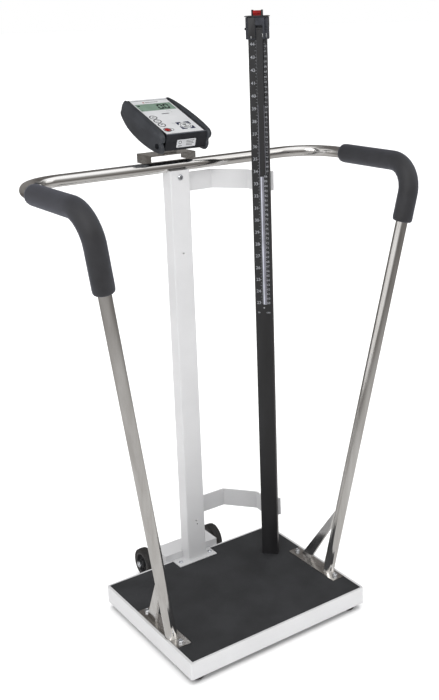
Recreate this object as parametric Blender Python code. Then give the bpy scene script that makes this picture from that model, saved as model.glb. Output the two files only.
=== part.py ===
"""Stand-on patient scale: platform, tubular handrail, indicator on a column, telescoping height rod.

Frame: origin on the floor under the platform's centre. X runs along the platform's front edge to
the right of a person facing the indicator, Y to the back (column side), Z up. Metres.
"""
import math

import bmesh
import bpy
from mathutils import Matrix, Vector

GAP = 0.0003                      # clearance between touching pieces

# ---- platform
PLAT_W, PLAT_D = 0.432, 0.343     # outer size of the pan
PLAT_TOP = 0.0500                 # standing surface
PAN_BOTTOM = 0.0137
PAN_WALL = 0.0020
PAN_DECK = 0.0472                 # top of the steel deck under the mat
DECK_UNDER = 0.0445               # underside of the deck
MAT_W, MAT_D = 0.421, 0.334
FOOT_X, FOOT_Y, FOOT_R = 0.190, 0.147, 0.015

# ---- column
COL_W, COL_D, COL_T = 0.046, 0.032, 0.002
COL_Y = 0.1620
COL_TOP = 0.9310
COL_PLATE_X, COL_PLATE_FRONT, COL_PLATE_BACK = (-0.0515, 0.0455), 0.1366, 0.1712
COL_PLATE_TOP = 0.0512
BASE_SCREW_XS, BASE_SCREW_Y = (-0.0400, 0.0365), 0.1530

# ---- handrail
RAIL_R, RAIL_WALL = 0.0120, 0.0015
RAIL_HALF, RAIL_BACK, RAIL_FRONT, RAIL_Z = 0.3576, 0.1650, -0.1597, 0.9386
RAIL_FOOT_X, RAIL_FOOT_Y = 0.2004, -0.0730
BEND_FRONT, BEND_BACK = 0.056, 0.095
LEG_PLATE_X = (0.1800, 0.2103)
LEG_PLATE_Y = (-0.1135, 0.0435)
LEG_PLATE_TOP = 0.0508
LEG_BOLT_X, LEG_BOLT_YS = 0.1960, {"front": -0.1000, "back": 0.0320}
GRIP_R = 0.0200
GRIP_START_Y = 0.0550
GRIP_END_Z = {"left": 0.797, "right": 0.823}

# ---- wheels
AXLE_Y, AXLE_Z, AXLE_R, AXLE_HALF = 0.228, 0.0350, 0.0040, 0.1090
WHEEL_R, HUB_R = 0.0332, 0.0245
WHEEL_IN, WHEEL_OUT = 0.0800, 0.1000
BRACKET_HALF, BRACKET_TOP, BRACKET_REAR = 0.0680, 0.0660, 0.2220

# ---- height rod (local frame: x across the scale, -y out of the scale's face)
ROD_X, ROD_Y, ROD_TURN = 0.1470, 0.0680, -math.pi / 4
ROD_W, ROD_D, ROD_T = 0.036, 0.020, 0.0020
ROD_BASE, ROD_TOP = 0.0506, 1.1850
HEAD_TOP = 1.2285
PIN_Y, PIN_Z, PIN_R = -0.0124, 1.2060, 0.0015
BLADE_X = (-0.0010, 0.0120)       # the folding headpiece lies off centre on the rod's face
STRAP_ZS = {"upper_strap": 0.8995, "lower_strap": 0.1590}
STRAP_H, STRAP_T = 0.0400, 0.0035

# ---- indicator (local frame: origin at the middle of the keypad, -y towards the user)
IND_Y, IND_Z, IND_TILT = 0.1886, 1.0377, math.radians(20.7)
IND_HALF_W, IND_HALF_L = 0.0465, 0.0825
TILT_Y, TILT_Z = -0.0148, -0.0486          # tilt axis in the indicator's frame
KEY_X, KEY_R = -0.0318, 0.0058
KEY_YS = {"key_top": -0.0010, "key_second": -0.0185, "key_third": -0.0360, "key_power": -0.0590}

WHITE = ("white_powder_coat", (0.80, 0.80, 0.79), 0.45, 0.0)
STEEL = ("polished_stainless", (0.72, 0.71, 0.69), 0.22, 1.0)
ZINC = ("zinc_plated_steel", (0.70, 0.71, 0.73), 0.30, 1.0)
ALLOY = ("mill_aluminium", (0.66, 0.67, 0.68), 0.40, 1.0)
BLACK_ALLOY = ("black_anodised", (0.022, 0.022, 0.024), 0.38, 0.3)
BLACK_ABS = ("black_plastic", (0.030, 0.031, 0.034), 0.50, 0.0)
RUBBER = ("black_rubber", (0.028, 0.028, 0.030), 0.80, 0.0)
FOAM = ("foam_rubber", (0.040, 0.040, 0.044), 0.90, 0.0)
RED = ("red_plastic", (0.55, 0.01, 0.01), 0.40, 0.0)
FILM = ("keypad_film", (0.82, 0.83, 0.84), 0.35, 0.0)
LCD = ("display_glass", (0.30, 0.38, 0.31), 0.12, 0.0)
BOARD = ("circuit_board", (0.02, 0.16, 0.06), 0.55, 0.0)
RULE = ("pale_grey_strip", (0.62, 0.63, 0.68), 0.35, 0.0)


# ------------------------------------------------------------------ helpers
def clear_scene():
    for obj in list(bpy.data.objects):
        bpy.data.objects.remove(obj, do_unlink=True)


def material(name, colour, roughness, metallic):
    mat = bpy.data.materials.get(name)
    if mat is None:
        mat = bpy.data.materials.new(name)
        mat.use_nodes = True
        bsdf = mat.node_tree.nodes["Principled BSDF"]
        bsdf.inputs["Base Color"].default_value = (*colour, 1.0)
        bsdf.inputs["Roughness"].default_value = roughness
        bsdf.inputs["Metallic"].default_value = metallic
    return mat


def add(name, mesh, look, parent=None, loc=(0, 0, 0), rot=(0, 0, 0), smooth=None):
    obj = bpy.data.objects.new(name, mesh)
    bpy.context.scene.collection.objects.link(obj)
    obj.location = loc
    obj.rotation_euler = rot
    obj.parent = parent
    if look:
        mesh.materials.clear()
        mesh.materials.append(material(*look))
    if smooth:
        mesh.shade_smooth()
        mesh.set_sharp_from_angle(angle=math.radians(smooth))
    return obj


def empty(name, loc, rot=(0, 0, 0), parent=None):
    obj = bpy.data.objects.new(name, None)
    bpy.context.scene.collection.objects.link(obj)
    obj.location = loc
    obj.rotation_euler = rot
    obj.parent = parent
    return obj


def to_mesh(bm, name):
    bmesh.ops.recalc_face_normals(bm, faces=bm.faces)
    mesh = bpy.data.meshes.new(name)
    bm.to_mesh(mesh)
    bm.free()
    return mesh


def box(name, x, y, z, bevel=0.0, segments=2):
    """Box between the limits x, y, z, each a (low, high) pair."""
    bm = bmesh.new()
    bmesh.ops.create_cube(bm, size=1.0)
    low, high = Vector((x[0], y[0], z[0])), Vector((x[1], y[1], z[1]))
    bmesh.ops.scale(bm, vec=high - low, verts=bm.verts)
    bmesh.ops.translate(bm, vec=(high + low) / 2, verts=bm.verts)
    if bevel:
        bmesh.ops.bevel(bm, geom=bm.edges[:], offset=bevel, segments=segments, profile=0.5,
                        affect="EDGES")
    return to_mesh(bm, name)


def prism(name, outline, low, high, axis="Z", bevel=0.0):
    """Straight extrusion of a closed outline along an axis; bevel rounds the rims of both ends."""
    place = {"X": lambda a, b, t: (t, a, b), "Y": lambda a, b, t: (a, t, b),
             "Z": lambda a, b, t: (a, b, t)}[axis]
    bm = bmesh.new()
    ends = [[bm.verts.new(place(a, b, t)) for a, b in outline] for t in (low, high)]
    caps = [bm.faces.new(ends[0]), bm.faces.new(ends[1])]
    for i in range(len(outline)):
        j = (i + 1) % len(outline)
        bm.faces.new((ends[0][i], ends[0][j], ends[1][j], ends[1][i]))
    if bevel:
        rims = list({e for cap in caps for e in cap.edges})
        bmesh.ops.bevel(bm, geom=rims, offset=bevel, segments=2, profile=0.5, affect="EDGES")
    return to_mesh(bm, name)


def lathe(name, profile, axis="Z", segments=24):
    """Closed profile of (radius, height) turned about an axis; a radius of 0 is a pole."""
    bm = bmesh.new()
    rings = []
    for radius, height in profile:
        steps = range(segments) if radius else range(1)
        rings.append([bm.verts.new((radius * math.cos(2 * math.pi * i / segments),
                                    radius * math.sin(2 * math.pi * i / segments), height))
                      for i in steps])
    pairs = list(zip(rings, rings[1:]))
    if profile[0][0]:
        pairs.append((rings[-1], rings[0]))
    for low, high in pairs:
        for i in range(segments):
            j = (i + 1) % segments
            corners = [low[i % len(low)], low[j % len(low)], high[j % len(high)],
                       high[i % len(high)]]
            bm.faces.new(list(dict.fromkeys(corners)))
    if axis == "X":
        bmesh.ops.rotate(bm, verts=bm.verts, matrix=Matrix.Rotation(math.pi / 2, 3, "Y"))
    if axis == "-Y":
        bmesh.ops.rotate(bm, verts=bm.verts, matrix=Matrix.Rotation(math.pi / 2, 3, "X"))
    return to_mesh(bm, name)


def cylinders(name, places, radius, low, high, axis="Z", segments=12):
    """Cutter made of parallel cylinders, each at a pair of coordinates across the axis."""
    turn = {"Z": Matrix.Identity(4), "X": Matrix.Rotation(math.pi / 2, 4, "Y"),
            "Y": Matrix.Rotation(math.pi / 2, 4, "X")}[axis]
    mid = (low + high) / 2
    bm = bmesh.new()
    for a, b in places:
        centre = {"X": (mid, a, b), "Y": (a, mid, b), "Z": (a, b, mid)}[axis]
        bmesh.ops.create_cone(bm, cap_ends=True, segments=segments, radius1=radius,
                              radius2=radius, depth=high - low,
                              matrix=Matrix.Translation(centre) @ turn)
    return to_mesh(bm, name)


def arc(cx, cy, radius, start, end, steps):
    """Points on an arc, angles in degrees."""
    turns = [math.radians(start + (end - start) * i / steps) for i in range(steps + 1)]
    return [(cx + radius * math.cos(a), cy + radius * math.sin(a)) for a in turns]


def rounded_rect(x, y, radius, steps=3):
    (x0, x1), (y0, y1) = x, y
    return (arc(x1 - radius, y0 + radius, radius, -90, 0, steps)
            + arc(x1 - radius, y1 - radius, radius, 0, 90, steps)
            + arc(x0 + radius, y1 - radius, radius, 90, 180, steps)
            + arc(x0 + radius, y0 + radius, radius, 180, 270, steps))


def cut(target, mesh, loc=None, rot=None):
    """Boolean difference with a hidden cutter placed in the target's own frame by default."""
    cutter = add("%s_cutter_%d" % (target.name, len(target.modifiers)), mesh, None, target.parent,
                 target.location if loc is None else loc,
                 target.rotation_euler if rot is None else rot)
    cutter.hide_render = True
    cutter.display_type = "WIRE"
    mod = target.modifiers.new("cut_%d" % len(target.modifiers), "BOOLEAN")
    mod.operation = "DIFFERENCE"
    mod.solver = "EXACT"
    mod.object = cutter


def join(target, mesh):
    """Boolean union with a hidden tool body in the target's frame."""
    cut(target, mesh)
    target.modifiers[-1].operation = "UNION"


def fillet_path(points, radii, steps=8):
    """Polyline with its corners replaced by arcs of the given radii."""
    points = [Vector(p) for p in points]
    path = [points[0]]
    for before, here, after, radius in zip(points, points[1:], points[2:], radii):
        a, b = (before - here).normalized(), (after - here).normalized()
        half = a.angle(b) / 2
        centre = here + (a + b).normalized() * (radius / math.sin(half))
        start = here + a * (radius / math.tan(half)) - centre
        end = here + b * (radius / math.tan(half)) - centre
        axis = start.cross(end).normalized()
        for i in range(steps + 1):
            turn = Matrix.Rotation((math.pi - 2 * half) * i / steps, 3, axis)
            path.append(centre + turn @ start)
    path.append(points[-1])
    return path


def sweep(name, path, outer, inner, segments=16, level_ends=False):
    """Round tube with a bore along a path; outer is one radius, or one for each point."""
    outer = outer if isinstance(outer, list) else [outer] * len(path)
    steps = [(b - a).normalized() for a, b in zip(path, path[1:])]
    tangents = [(a + b).normalized() for a, b in zip([steps[0]] + steps, steps + [steps[-1]])]
    side = tangents[0].cross(Vector((0.3, 0.9, 0.1))).normalized()
    bm = bmesh.new()
    rings = []
    for i, (point, tangent, radius) in enumerate(zip(path, tangents, outer)):
        side = (side - tangent * side.dot(tangent)).normalized()
        other = tangent.cross(side)
        pair = []
        for r in (radius, inner):
            ring = [point + (side * math.cos(2 * math.pi * k / segments)
                             + other * math.sin(2 * math.pi * k / segments)) * r
                    for k in range(segments)]
            if level_ends and i in (0, len(path) - 1):
                ring = [co - tangent * ((co.z - point.z) / tangent.z) for co in ring]
            pair.append([bm.verts.new(co) for co in ring])
        rings.append(pair)
    for k in range(segments):
        j = (k + 1) % segments
        for one, two in zip(rings, rings[1:]):
            bm.faces.new((one[0][k], one[0][j], two[0][j], two[0][k]))
            bm.faces.new((one[1][j], one[1][k], two[1][k], two[1][j]))
        for ring in (rings[0], rings[-1]):
            bm.faces.new((ring[0][k], ring[0][j], ring[1][j], ring[1][k]))
    return to_mesh(bm, name)


def strip_outline(points, thickness):
    """Closed outline of a bent strip whose middle runs through the points, with mitred bends."""
    points = [Vector(p) for p in points]
    steps = [(b - a).normalized() for a, b in zip(points, points[1:])]
    sides = []
    for i, point in enumerate(points):
        a, b = steps[max(i - 1, 0)], steps[min(i, len(steps) - 1)]
        across = (Vector((-a.y, a.x)) + Vector((-b.y, b.x))).normalized()
        reach = thickness / 2 / across.dot(Vector((-a.y, a.x)))
        sides.append((point + across * reach, point - across * reach))
    return [tuple(s[0]) for s in sides] + [tuple(s[1]) for s in reversed(sides)]


def hex_bolt(name, head_r, head_h, shank_r, shank_l):
    """Hexagon bolt standing on z = 0, its shank going down."""
    return lathe(name, [(0.0, -shank_l), (shank_r, -shank_l), (shank_r, 0.0), (head_r, 0.0),
                        (head_r, head_h * 0.8), (head_r * 0.86, head_h), (0.0, head_h)],
                 segments=6)


def dome_screw(name, head_r, head_h, shank_r, shank_l, axis="Z"):
    """Round-headed screw with its head above z = 0 (or in front, for axis -Y)."""
    head = [(head_r, 0.0)] + [(head_r * math.cos(a), head_h * (0.3 + 0.7 * math.sin(a)))
                              for a in (0.0, 0.5, 1.0)] + [(0.0, head_h)]
    return lathe(name, [(0.0, -shank_l), (shank_r, -shank_l), (shank_r, 0.0)] + head, axis,
                 segments=12)


# ------------------------------------------------------------------ platform
def build_platform():
    w, d = PLAT_W / 2, PLAT_D / 2
    pan = add("platform_pan", prism("platform_pan", rounded_rect((-w, w), (-d, d), 0.004),
                                    PAN_BOTTOM, PLAT_TOP), WHITE)
    cut(pan, box("pan_under", (-w + PAN_WALL, w - PAN_WALL), (-d + PAN_WALL, d - PAN_WALL),
                 (0.0, DECK_UNDER)))
    mw, md = MAT_W / 2, MAT_D / 2
    cut(pan, box("pan_recess", (-mw - GAP, mw + GAP), (-md - GAP, md + GAP), (PAN_DECK, 0.06)))
    cut(pan, box("pan_notch", (COL_PLATE_X[0] - GAP, COL_PLATE_X[1] + GAP), (0.16, 0.18),
                 (PAN_DECK, 0.06)))
    holes = [(s * LEG_BOLT_X, y) for s in (-1, 1) for y in LEG_BOLT_YS.values()]
    holes += [(x, BASE_SCREW_Y) for x in BASE_SCREW_XS]
    cut(pan, cylinders("pan_holes", holes, 0.0033, 0.040, 0.052))

    # rubber mat, notched round the three base plates
    clear = 0.0008
    px, py0, py1 = LEG_PLATE_X[0] - clear, LEG_PLATE_Y[0] - clear, LEG_PLATE_Y[1] + clear
    outer = [(mw, -md), (mw, py0), (px, py0), (px, py1), (mw, py1), (mw, md)]
    notch = [(x, y) for x in (COL_PLATE_X[1] + clear, COL_PLATE_X[0] - clear)
             for y in (md, COL_PLATE_FRONT - clear)]
    outline = outer + notch[:2] + notch[:1:-1] + [(-x, y) for x, y in reversed(outer)]
    add("mat", prism("mat", outline, PAN_DECK + GAP, PLAT_TOP + 0.0002), RUBBER)

    frame = add("underframe", box("underframe", (-0.095, 0.095), (-0.138, 0.138),
                                  (0.0300, DECK_UNDER - GAP)), WHITE)
    for y in ((-0.122, -0.012), (0.012, 0.122)):
        cut(frame, box("underframe_window", (-0.058, 0.058), y, (0.0, 0.06)))

    # a load cell and a rubber foot under each corner
    foot = [(0.0, 0.0), (FOOT_R - 0.001, 0.0), (FOOT_R, 0.0015), (FOOT_R - 0.0012, 0.0105),
            (FOOT_R - 0.004, 0.0120), (0.0045, 0.0120), (0.0045, 0.0247), (0.0, 0.0247)]
    top = DECK_UNDER - GAP
    cell = [(0.110, 0.0250), (0.204, 0.0250), (0.204, 0.0370), (0.134, 0.0370), (0.134, top),
            (0.110, top)]
    for x, side in ((-1, "left"), (1, "right")):
        for y, end in ((-1, "front"), (1, "back")):
            name = "%s_%s" % (end, side)
            bar = prism("load_cell", [(x * a, b) for a, b in cell], -0.009, 0.009, axis="Y")
            body = add("load_cell_" + name, bar, ALLOY, loc=(0, y * FOOT_Y, 0))
            cut(body, cylinders("load_cell_bore", [(x * 0.150, 0.031), (x * 0.163, 0.031)], 0.004,
                                -0.02, 0.02, axis="Y"))
            add("foot_" + name, lathe("foot", foot, segments=20), RUBBER,
                loc=(x * FOOT_X, y * FOOT_Y, 0), smooth=40)


# ------------------------------------------------------------------ column
def build_column():
    plate = add("column_base_plate", box("column_base_plate", COL_PLATE_X,
                                         (COL_PLATE_FRONT, COL_PLATE_BACK),
                                         (PAN_DECK + GAP, COL_PLATE_TOP)), WHITE)
    places = [(x, BASE_SCREW_Y) for x in BASE_SCREW_XS]
    cut(plate, cylinders("plate_holes", places, 0.0033, 0.040, 0.060))
    for (x, y), side in zip(places, ("left", "right")):
        add("base_screw_" + side, dome_screw("base_screw", 0.0052, 0.0026, 0.0028, 0.0080), ZINC,
            loc=(x, y, COL_PLATE_TOP + GAP), smooth=50)

    hw, hd = COL_W / 2, COL_D / 2
    section = rounded_rect((-hw, hw), (COL_Y - hd, COL_Y + hd), 0.0025, 2)
    column = add("column_tube", prism("column_tube", section, COL_PLATE_TOP + GAP, COL_TOP), WHITE)
    cut(column, box("column_bore", (-hw + COL_T, hw - COL_T),
                    (COL_Y - hd + COL_T, COL_Y + hd - COL_T), (0.0, 1.0)))
    cut(column, cylinders("column_saddle", [(RAIL_BACK, RAIL_Z)], RAIL_R + GAP, -0.04, 0.04,
                          axis="X", segments=32))
    cut(column, cylinders("column_holes", [(0.0, 0.7574), (0.0, 0.1440)], 0.0018, 0.12, 0.15,
                          axis="Y"))
    cut(column, cylinders("column_screw_hole", [(0.0, 0.9165)], 0.0028, 0.12, 0.15, axis="Y"))
    add("column_screw", dome_screw("column_screw", 0.0060, 0.0035, 0.0024, 0.0080, axis="-Y"),
        STEEL, loc=(0, COL_Y - hd - GAP, 0.9165), smooth=50)


# ------------------------------------------------------------------ handrail
def rail_corners(side):
    """Corner points of one side's leg and arm: base, front bend, back bend."""
    s = {"left": -1, "right": 1}[side]
    return [(s * RAIL_FOOT_X, RAIL_FOOT_Y, LEG_PLATE_TOP + GAP),
            (s * RAIL_HALF, RAIL_FRONT, RAIL_Z), (s * RAIL_HALF, RAIL_BACK, RAIL_Z)]


def build_handrail():
    corners = rail_corners("left") + rail_corners("right")[::-1]
    path = fillet_path(corners, (BEND_FRONT, BEND_BACK, BEND_BACK, BEND_FRONT))
    add("handrail", sweep("handrail", path, RAIL_R, RAIL_R - RAIL_WALL, level_ends=True), STEEL,
        smooth=50)

    for side, s in (("left", -1), ("right", 1)):
        x = sorted(s * v for v in LEG_PLATE_X)
        plate = add("leg_plate_" + side, box("leg_plate", x, LEG_PLATE_Y,
                                             (PAN_DECK + GAP, LEG_PLATE_TOP)), STEEL)
        places = [(s * LEG_BOLT_X, y) for y in LEG_BOLT_YS.values()]
        cut(plate, cylinders("leg_plate_holes", places, 0.0033, 0.040, 0.060))
        for end, y in LEG_BOLT_YS.items():
            add("leg_bolt_%s_%s" % (end, side), hex_bolt("leg_bolt", 0.0056, 0.0045, 0.0028, 0.012),
                ZINC, loc=(s * LEG_BOLT_X, y, LEG_PLATE_TOP + GAP))

        # flat brace from the plate's rear part up to the leg, lying in the leg's leaning plane
        base, top, _ = [Vector(p) for p in rail_corners(side)]
        lean = (top.x - base.x) / (top.z - base.z)
        outline = [(0.0175, LEG_PLATE_TOP + GAP), (-0.0120, LEG_PLATE_TOP + GAP),
                   (-0.0620, 0.1400), (-0.0700, 0.1840)]
        brace = add("brace_" + side, prism("brace", outline, -0.0025, 0.0025, axis="X"), STEEL)
        for vert in brace.data.vertices:
            vert.co.x += base.x + lean * (vert.co.z - base.z)
        leg = [base - (top - base) * 0.05, base + (top - base) * 0.4]
        cut(brace, sweep("brace_leg", leg, RAIL_R + GAP, 0.001))

        # foam grip round the front bend
        full = fillet_path([(s * RAIL_HALF, GRIP_START_Y, RAIL_Z), top, base], (BEND_FRONT,), 8)
        down = (base - top) * ((top.z - GRIP_END_Z[side]) / (top.z - base.z))
        run = full[:-1] + [top + down]
        first, last = (run[1] - run[0]).normalized(), (run[-1] - run[-2]).normalized()
        run = [run[0], run[0] + first * 0.004] + run[1:-1] + [run[-1] - last * 0.004, run[-1]]
        radii = [GRIP_R - 0.003] + [GRIP_R] * (len(run) - 2) + [GRIP_R - 0.003]
        add("grip_" + side, sweep("grip", run, radii, RAIL_R + GAP), FOAM, smooth=60)


# ------------------------------------------------------------------ wheels
def build_wheels():
    b, top = BRACKET_HALF, BRACKET_TOP
    back, front = AXLE_Y, COL_PLATE_BACK + 0.0006
    outline = ([(front, 0.0220)] + arc(back, AXLE_Z, 0.0130, -90, 60, 5)
               + [(BRACKET_REAR, top), (front, top)])
    bracket = add("wheel_bracket", prism("wheel_bracket", outline, -b, b, axis="X"), WHITE)
    inner = ([(front + 0.0025, -0.01), (0.2600, -0.01), (0.2600, AXLE_Z)]
             + arc(back, AXLE_Z, 0.0105, 0, 60, 3)
             + [(BRACKET_REAR - 0.0014, top - 0.0025), (front + 0.0025, top - 0.0025)])
    cut(bracket, prism("bracket_hollow", inner, -b + 0.0025, b - 0.0025, axis="X"))
    cut(bracket, cylinders("bracket_bore", [(AXLE_Y, AXLE_Z)], AXLE_R + GAP, -0.08, 0.08,
                           axis="X", segments=16))
    hw, rear = COL_W / 2 + 0.0006, COL_Y + COL_D / 2 + 0.0006
    cut(bracket, box("bracket_column_notch", (-hw, hw), (0.10, rear), (COL_PLATE_TOP, 0.10)))

    h = AXLE_HALF
    add("axle", lathe("axle", [(0.0, -h), (AXLE_R - 0.0008, -h), (AXLE_R, -h + 0.0008),
                               (AXLE_R, h - 0.0008), (AXLE_R - 0.0008, h), (0.0, h)],
                      axis="X", segments=16), ZINC, loc=(0, AXLE_Y, AXLE_Z), smooth=40)
    bore, a, o, r = AXLE_R + GAP, WHEEL_IN, WHEEL_OUT, WHEEL_R
    hub = [(bore, b + GAP), (0.0085, b + GAP), (0.0085, a + 0.0055), (HUB_R - 0.0053, a + 0.0055),
           (HUB_R - 0.0038, a + 0.0005), (HUB_R, a + 0.0005), (HUB_R, o - 0.0005),
           (HUB_R - 0.0038, o - 0.0005), (HUB_R - 0.0053, o - 0.0055), (0.0095, o - 0.0055),
           (0.0085, o + 0.0002), (bore, o + 0.0002)]
    tyre = [(HUB_R + GAP, a + 0.0002), (r - 0.0030, a), (r - 0.0006, a + 0.0020),
            (r, a + 0.0055), (r, o - 0.0055), (r - 0.0006, o - 0.0020), (r - 0.0030, o),
            (HUB_R + GAP, o - 0.0002)]
    nut = [(0.0, o + 0.0006), (0.0076, o + 0.0006), (0.0076, o + 0.0060), (0.0066, o + 0.0072),
           (0.0, o + 0.0072)]
    for side, s in (("left", -1), ("right", 1)):
        spin = empty("wheel_axis_" + side, (0, AXLE_Y, AXLE_Z))
        turn = (0, 0, math.pi) if s < 0 else (0, 0, 0)
        add("wheel_hub_" + side, lathe("wheel_hub", hub, axis="X", segments=28), BLACK_ABS, spin,
            rot=turn, smooth=40)
        add("wheel_tyre_" + side, lathe("wheel_tyre", tyre, axis="X", segments=36), RUBBER, spin,
            rot=turn, smooth=40)
        body = add("axle_nut_" + side, lathe("axle_nut", nut, axis="X", segments=6), ZINC, spin,
                   rot=turn)
        cut(body, cylinders("nut_bore", [(0.0, 0.0)], bore, 0.05, 0.12, axis="X", segments=16))


# ------------------------------------------------------------------ height rod
def build_rod():
    rod = empty("rod_frame", (ROD_X, ROD_Y, 0), (0, 0, ROD_TURN))
    hw, hd = ROD_W / 2, ROD_D / 2
    outer = add("rod_outer", prism("rod_outer", rounded_rect((-hw, hw), (-hd, hd), 0.0012, 2),
                                   ROD_BASE, ROD_TOP), BLACK_ALLOY, rod)
    cw, cd = hw - ROD_T, hd - ROD_T
    cut(outer, box("rod_bore", (-cw, cw), (-cd, cd), (0.0, 1.3)))
    add("rod_foot_plug", box("rod_foot_plug", (-cw + GAP, cw - GAP), (-cd + GAP, cd - GAP),
                             (ROD_BASE + 0.0001, 0.070)), RUBBER, rod)
    add("reading_strip", box("reading_strip", (0.0002, 0.0066), (-hd - 0.0012, -hd - GAP),
                             (0.6393, 0.9113)), RULE, rod)

    lift = empty("rod_slide_axis", (0, 0, ROD_BASE), parent=rod)
    iw, idp = cw - GAP, cd - GAP
    inner = add("rod_inner", box("rod_inner", (-iw, iw), (-idp, idp),
                                 (0.100 - ROD_BASE, 1.2000 - ROD_BASE)), ALLOY, lift)
    cut(inner, box("rod_inner_bore", (-iw + 0.0016, iw - 0.0016), (-idp + 0.0016, idp - 0.0016),
                   (0.0, 1.3)))

    head = add("head_block", box("head_block", (-0.0220, 0.0220), (-0.0170, 0.0130),
                                 (ROD_TOP + GAP, HEAD_TOP), 0.0012, 1), BLACK_ALLOY, lift,
               loc=(0, 0, -ROD_BASE))
    cut(head, box("head_socket", (-iw - GAP, iw + GAP), (-idp - GAP, idp + GAP),
                  (1.18, 1.2000 + GAP)))
    cut(head, box("head_slot", (BLADE_X[0] - 0.0005, BLADE_X[1] + 0.0005), (-0.03, -0.0090),
                  (1.18, 1.2125)))
    cut(head, cylinders("head_pin_bore", [(PIN_Y, PIN_Z)], PIN_R + GAP, -0.04, 0.04, axis="X"))
    cut(head, box("head_well", (-0.0080, 0.0080), (-0.0045, 0.0045), (1.2150, 1.24)))
    for s in (-1, 1):
        cut(head, box("head_step", sorted((s * 0.0165, s * 0.03)), (-0.03, -0.0120), (1.1, 1.3)))

    lid = add("head_lid", prism("head_lid", [(-0.0232, HEAD_TOP + GAP), (0.0232, HEAD_TOP + GAP),
                                             (0.0232, 0.0016 + HEAD_TOP), (0.0198, 0.0026 + HEAD_TOP),
                                             (-0.0198, 0.0026 + HEAD_TOP),
                                             (-0.0232, 0.0016 + HEAD_TOP)],
                                -0.0185, 0.0145, axis="Y"), BLACK_ALLOY, lift,
              loc=(0, 0, -ROD_BASE))
    for s in (-1, 1):
        join(lid, box("lid_post", sorted((s * 0.0084, s * 0.0108)), (-0.0060, 0.0060),
                      (HEAD_TOP + 0.001, 1.2422)))
    cut(lid, box("lid_window", (-0.0080, 0.0080), (-0.0045, 0.0045), (1.2, 1.25)))

    press = empty("release_axis", (0, 0, 1.2390 - ROD_BASE), parent=lift)
    button = add("release_button", box("release_button", (-0.0081, 0.0081), (-0.0055, 0.0055),
                                       (-0.0045, 0.0020), 0.0006, 1), RED, press)
    join(button, box("release_stem", (-0.0077, 0.0077), (-0.0040, 0.0040), (-0.0200, -0.0030)))

    hinge = empty("headpiece_axis", (0, PIN_Y, PIN_Z - ROD_BASE), parent=lift)
    add("headpiece_pin", lathe("headpiece_pin", [(0.0, -0.0240), (0.0024, -0.0240),
                                                 (0.0024, -0.0223), (PIN_R, -0.0223),
                                                 (PIN_R, 0.0223), (0.0024, 0.0223),
                                                 (0.0024, 0.0240), (0.0, 0.0240)],
                               axis="X", segments=12), ZINC, hinge, smooth=40)
    blade = [(-0.0021, 0.9150 - PIN_Z), (0.0019, 0.9150 - PIN_Z)] + arc(0, 0, 0.0029, -40, 220, 9)
    arm = add("headpiece_arm", prism("headpiece_arm", blade, *BLADE_X, axis="X"),
              BLACK_ALLOY, hinge)
    cut(arm, cylinders("arm_bore", [(0.0, 0.0)], PIN_R + GAP, -0.02, 0.02, axis="X"))

    # bent flat straps from the column's back round to the rod's back
    reach = hd + GAP + STRAP_T / 2
    axis_x, axis_y = math.cos(ROD_TURN), math.sin(ROD_TURN)
    behind = [(ROD_X + u * axis_x - v * axis_y, ROD_Y + u * axis_y + v * axis_x)
              for u, v in ((-0.0350, 0.0370), (-0.0130, reach), (0.0235, reach))]
    back = COL_Y + COL_D / 2 + GAP + STRAP_T / 2
    route = [(-0.0200, back), (0.0970, back)] + behind
    for name, z in STRAP_ZS.items():
        add(name, prism(name, strip_outline(route, STRAP_T), z - STRAP_H / 2, z + STRAP_H / 2),
            WHITE)


# ------------------------------------------------------------------ indicator
def cheek_outline():
    """Side profile of an end cheek in the indicator's frame (y, z)."""
    front = [(-0.0800, 0.0010), (-0.0850, -0.0040), (-0.0862, -0.0120), (-0.0800, -0.0165),
             (-0.0800, -0.0215), (-0.0872, -0.0270), (-0.0872, -0.0360), (-0.0800, -0.0430)]
    belly = [(-0.0450, -0.0490), (-0.0050, -0.0515), (0.0350, -0.0500), (0.0700, -0.0430)]
    back = [(0.0880, -0.0345), (0.0905, -0.0290), (0.0860, -0.0210), (0.0860, -0.0170),
            (0.0880, -0.0110), (0.0875, -0.0020), (0.0840, 0.0020)]
    crown = [(0.0400, 0.0050), (-0.0100, 0.0056), (-0.0500, 0.0040)]
    return front + belly + back + crown


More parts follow.
